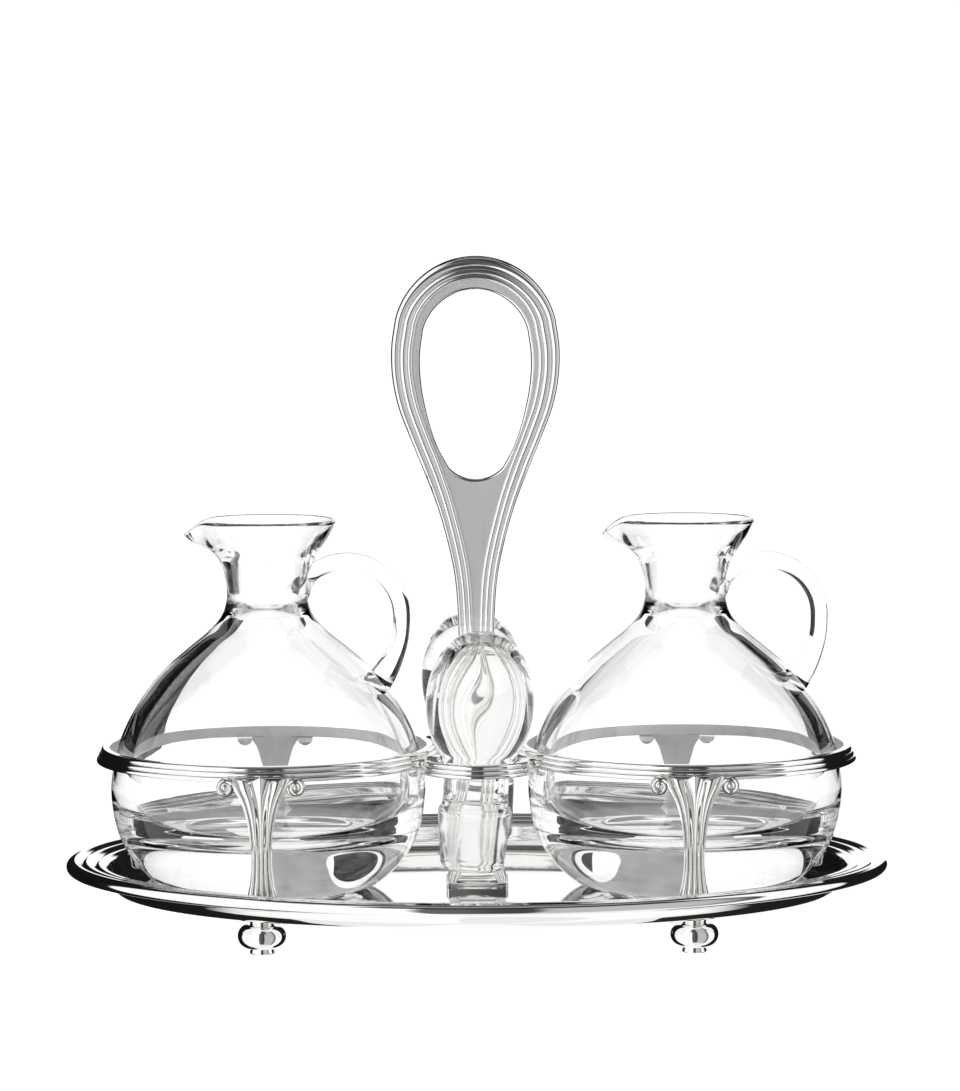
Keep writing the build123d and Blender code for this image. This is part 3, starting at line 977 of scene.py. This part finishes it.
def fused(body, part):
    """The two closed solids as one mesh, as hot glass joins."""
    union = body.modifiers.new("Fuse", "BOOLEAN")
    union.operation = "UNION"
    union.solver = "EXACT"
    union.object = part
    bpy.context.view_layer.update()
    evaluated = body.evaluated_get(bpy.context.evaluated_depsgraph_get())
    mesh = bpy.data.meshes.new_from_object(evaluated)
    body.modifiers.clear()
    bpy.data.objects.remove(part)
    return mesh


def ground_slots(line, bands, is_ground):
    """The material slot of each turned face: 1 where is_ground says so of its band's two ends."""
    ground = {band for band, ends in enumerate(zip(line, line[1:])) if is_ground(*ends)}
    return [1 if band in ground else 0 for band in bands]


def in_socket(start, end):
    """Whether a band belongs to the ground taper inside the neck, where the section runs down."""
    inside = start[0] < TAPER_TOP_RADIUS + 0.1 and start[1] > end[1]
    return inside and TAPER_BOTTOM - 0.1 < end[1] < TAPER_TOP - 0.1


def make_carafes():
    """Two carafes, each fused with its handle. Both are copies of one mesh."""
    line, sharp = carafe_line(), 50
    points, faces, bands = lathe(line, 144, shape=spout)
    slots = ground_slots(line, bands, in_socket)
    body = new_piece("CarafeShape", points, faces, [CRYSTAL, GROUND], slots, sharp=sharp)
    tube = new_piece("CarafeHandleShape", *handle_tube(), [CRYSTAL, GROUND], sharp=sharp)
    mesh = fused(body, tube)
    mesh.shade_smooth()
    mesh.set_sharp_from_angle(angle=radians(sharp))
    bpy.data.objects.remove(body)
    for side, x_side in SIDES.items():
        own = mesh.copy()
        own.transform(Matrix.Translation((x_side * CARAFE_X * MM, 0, 0)))
        piece = add_object("Carafe_" + side, own)
        finish_piece(piece, side + "_carafe_body", "crystal", side + "_carafe",
                     side + "_carafe_handle")


PLUG_BOTTOM, PLUG_BOTTOM_RADIUS = 26.8, 10.7
PLUG_TOP, PLUG_TOP_RADIUS = 42.6, 12.3
STOPPER_LEAN = 3.0


def stopper_line():
    """The stopper's section, from the middle of its end up to the crown of the egg."""
    end, crown = 23.7, 103.5
    plug_bottom, plug_top = (PLUG_BOTTOM_RADIUS, PLUG_BOTTOM), (PLUG_TOP_RADIUS, PLUG_TOP)
    return joined(
        [(0, end), (7.6, end)],
        arc((7.6, end), (9.9, 24.6), plug_bottom, 8),
        taper(plug_bottom, plug_top),
        arc(plug_top, (12.2, 44.0), (11.3, 45.4), 5),
        smooth([(11.3, 45.4), (10.9, 47.4), (10.9, 52.0), (11.0, 56.5), (12.9, 62.0),
                (15.3, 66.4), (17.1, 71.6), (18.0, 78.0), (17.7, 85.0), (15.9, 91.6),
                (12.6, 97.4), (8.2, 101.6), (4.1, 103.1)], 7),
        [(3.8, crown - 0.1), (3.4, crown), (0, crown)],
    )


def on_plug(start, _):
    """Whether a band belongs to the ground taper of the plug."""
    return PLUG_BOTTOM - 0.1 < start[1] < PLUG_TOP - 0.1


def make_stopper(end, y_side):
    """A stopper that hangs in its ring and leans about the middle of the ring's top. seat is
    how far it is raised along its own axis."""
    seat = 0.25
    line = stopper_line()
    points, faces, bands = lathe(line, 112)
    slots = ground_slots(line, bands, on_plug)
    piece = new_piece("Stopper_" + end, points, faces, [CRYSTAL, GROUND], slots, sharp=40)
    lean = Matrix.Rotation(radians(-y_side * STOPPER_LEAN), 4, "Y")
    place = Matrix.Translation((0, y_side * STOPPER_Y * MM, SMALL_TOP * MM))
    lower = Matrix.Translation((0, 0, (seat - SMALL_TOP) * MM))
    piece.data.transform(place @ lean @ lower)
    finish_piece(piece, end + "_stopper_body", "crystal", end + "_stopper")


# ---- hidden hardware keeps its CAD shape ----
def paint_hardware():
    for node in ("leg_studs", "handle_screw", "handle_washer"):
        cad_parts[node].data.materials.clear()
        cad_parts[node].data.materials.append(STEEL)


# ---- studio ----
class WorldGraph:
    """Small helpers for building the world's brightness out of directions."""

    def __init__(self, tree):
        self.nodes, self.links = tree.nodes, tree.links

    def math(self, operation, *values):
        node = self.nodes.new("ShaderNodeMath")
        node.operation = operation
        for socket, value in zip(node.inputs, values):
            if isinstance(value, (int, float)):
                socket.default_value = value
            else:
                self.links.new(value, socket)
        return node.outputs[0]

    def times(self, first, *others):
        """The product of two or more values."""
        for value in others:
            first = self.math("MULTIPLY", first, value)
        return first

    def brightest(self, first, *others):
        """The highest of two or more values."""
        for value in others:
            first = self.math("MAXIMUM", first, value)
        return first

    def ramp(self, value, start, end):
        """A smooth rise from 0 to 1 between two angles in degrees, of a value in radians."""
        node = self.nodes.new("ShaderNodeMapRange")
        node.interpolation_type = "SMOOTHSTEP"
        node.inputs["From Min"].default_value = radians(start)
        node.inputs["From Max"].default_value = radians(end)
        self.links.new(value, node.inputs["Value"])
        return node.outputs["Result"]

    def between(self, value, low, high, soft):
        """1 where the value in radians lies between two angles in degrees, with soft edges."""
        rise = self.ramp(value, low - soft, low + soft)
        fall = self.ramp(value, high + soft, high - soft)
        return self.times(rise, fall)

    def light(self, strength):
        node = self.nodes.new("ShaderNodeBackground")
        node.inputs["Color"].default_value = (1.0, 1.0, 1.0, 1.0)
        if isinstance(strength, float):
            node.inputs["Strength"].default_value = strength
        else:
            self.links.new(strength, node.inputs["Strength"])
        return node.outputs[0]

    def mix(self, choice, other, chosen):
        """The chosen light where choice is 1, and the other one where it is 0."""
        node = self.nodes.new("ShaderNodeMixShader")
        for socket, value in zip(node.inputs, (choice, other, chosen)):
            self.links.new(value, socket)
        return node.outputs[0]


def mirrored_studio(graph):
    """What the silver mirrors: a backdrop, a tall box at each side, a grey camera side with a
    darker middle, grey and a narrow strip light overhead, and a pale patch far below."""
    place = graph.nodes.new("ShaderNodeTexCoord")
    split = graph.nodes.new("ShaderNodeSeparateXYZ")
    graph.links.new(place.outputs["Generated"], split.inputs[0])
    x, y, z = split.outputs
    # bearing turns from the backdrop (0) to the camera (180), tilt from the backdrop overhead
    bearing = graph.math("ARCTAN2", graph.math("ABSOLUTE", x), y)
    height = graph.math("ARCSINE", graph.math("MINIMUM", graph.math("MAXIMUM", z, -1.0), 1.0))
    tilt = graph.math("ARCTAN2", z, y)
    to_right = graph.ramp(x, -6, 6)
    backdrop = graph.times(graph.ramp(bearing, 30, 25), graph.ramp(height, 22, 17))
    to_left = graph.math("SUBTRACT", 1.0, to_right)
    left_box = graph.times(graph.between(bearing, 74, 150, 2), to_left)
    right_box = graph.times(graph.between(bearing, 74, 112, 2), to_right)
    boxes = graph.times(graph.math("ADD", left_box, right_box), graph.ramp(height, 66, 60))
    grey = graph.math("MULTIPLY_ADD", to_right, -0.65, 1.15)
    operator = graph.math("MULTIPLY_ADD", graph.ramp(bearing, 164, 169), -0.9, 1.0)
    camera_side = graph.times(
        graph.ramp(bearing, 110, 130), grey, graph.ramp(height, 42, 32), operator,
    )
    overhead = graph.times(graph.ramp(tilt, 78, 100), graph.ramp(height, 55, 65), 0.3)
    strip_light = graph.times(graph.between(tilt, 60, 64, 1), graph.ramp(height, 40, 46))
    below = graph.times(graph.ramp(height, -50, -60), 0.85)
    return graph.brightest(backdrop, boxes, camera_side, overhead, strip_light, below)


def make_world():
    """Silver mirrors a dark studio with white boxes. Light that has come through glass, and the
    camera itself, see plain white."""
    world = bpy.data.worlds.new("Studio")
    bpy.context.scene.world = world
    world.use_nodes = True
    world.node_tree.nodes.clear()
    graph = WorldGraph(world.node_tree)
    gain, darkest, through_glass, backdrop_white = 1.05, 0.012, 1.06, 1.1
    mirrored = graph.math("MULTIPLY_ADD", mirrored_studio(graph), gain, darkest)
    ray = graph.nodes.new("ShaderNodeLightPath").outputs
    seen = graph.mix(
        ray["Is Transmission Ray"], graph.light(mirrored), graph.light(through_glass),
    )
    seen = graph.mix(ray["Is Camera Ray"], seen, graph.light(backdrop_white))
    output = graph.nodes.new("ShaderNodeOutputWorld")
    graph.links.new(seen, output.inputs["Surface"])


# ---- camera, floor and cards ----
# Turn, aside, down and roll are degrees; the focal length is for a sensor 36 mm high.
CAMERA_DISTANCE = 1404.5
CAMERA_HEIGHT = 248.4
CAMERA_TURN = 0.3
CAMERA_ASIDE = 0.055
CAMERA_DOWN = 4.83
CAMERA_ROLL = -0.2
FOCAL_LENGTH = 137.0


def make_camera():
    """A long lens a little above the handle, looking slightly down."""
    data = bpy.data.cameras.new("Camera")
    camera = add_object("Camera", data)
    data.sensor_fit = "VERTICAL"
    data.sensor_height = 36.0
    data.lens = FOCAL_LENGTH
    data.clip_end = 20.0
    turn, down = radians(CAMERA_TURN), radians(CAMERA_DOWN)
    camera.location = Vector((-sin(turn), -cos(turn), 0)) * CAMERA_DISTANCE * MM
    camera.location.z = CAMERA_HEIGHT * MM
    aside = turn + radians(CAMERA_ASIDE)
    look = Vector((sin(aside) * cos(down), cos(aside) * cos(down), -sin(down)))
    upright = look.to_track_quat("-Z", "Y")
    camera.rotation_euler = (upright @ Quaternion((0, 0, 1), radians(CAMERA_ROLL))).to_euler()
    bpy.context.scene.camera = camera


def plain_plane(name, corners, material):
    """A single four-cornered face in millimetres, that is part of the studio."""
    mesh = bpy.data.meshes.new(name)
    mesh.from_pydata([(x * MM, y * MM, z * MM) for x, y, z in corners], [], [(0, 1, 2, 3)])
    mesh.materials.append(material)
    plane = add_object(name, mesh)
    plane.visible_diffuse = False
    return plane


def make_floor():
    """A plain pale floor that glows a little. The silver reflects the studio, not the floor."""
    material, shader = node_material("PaleFloor", 0.0, (0.95, 0.95, 0.95), 1.0)
    shader.inputs["Emission Color"].default_value = (1.0, 1.0, 1.0, 1.0)
    shader.inputs["Emission Strength"].default_value = 0.75
    half = 3000.0
    corners = [(-half, -half, 0), (half, -half, 0), (half, half, 0), (-half, half, 0)]
    floor = plain_plane("Floor", corners, material)
    floor.visible_glossy = False


CARD_NEAR = {"left": (186.0, 400.0), "right": (262.0, 400.0)}
CARD_FAR = (407.0, 96.0)
CARD_BOTTOM, CARD_TOP = -900.0, 1200.0


def make_cards():
    """Two black cards beside the backdrop. They draw the dark edges of glass and silver."""
    material, _ = node_material("BlackCard", 0.0, (0.004, 0.004, 0.004), 1.0)
    for side, x_side in SIDES.items():
        (near_x, near_y), (far_x, far_y) = CARD_NEAR[side], CARD_FAR
        near, far = (x_side * near_x, near_y), (x_side * far_x, far_y)
        corners = [
            (*near, CARD_BOTTOM), (*far, CARD_BOTTOM), (*far, CARD_TOP), (*near, CARD_TOP),
        ]
        card = plain_plane("BlackCard_" + side, corners, material)
        card.visible_camera = False
        card.visible_shadow = False


# ---- the whole set ----
make_camera()
make_world()
make_floor()
make_cards()
make_tray()
make_tray_rim()
for corner, (x_side, y_side) in CORNERS.items():
    make_foot(corner, x_side, y_side)
    make_leg(corner, x_side, y_side)
for side, x_side in SIDES.items():
    make_ring(side, x_side)
for end, y_side in ENDS.items():
    make_small_ring(end, y_side)
    make_stopper(end, y_side)
make_handle()
make_carafes()
paint_hardware()

scene = bpy.context.scene
scene.view_settings.view_transform = "Standard"
scene.cycles.max_bounces = 20
scene.cycles.glossy_bounces = 10
scene.cycles.transmission_bounces = 20
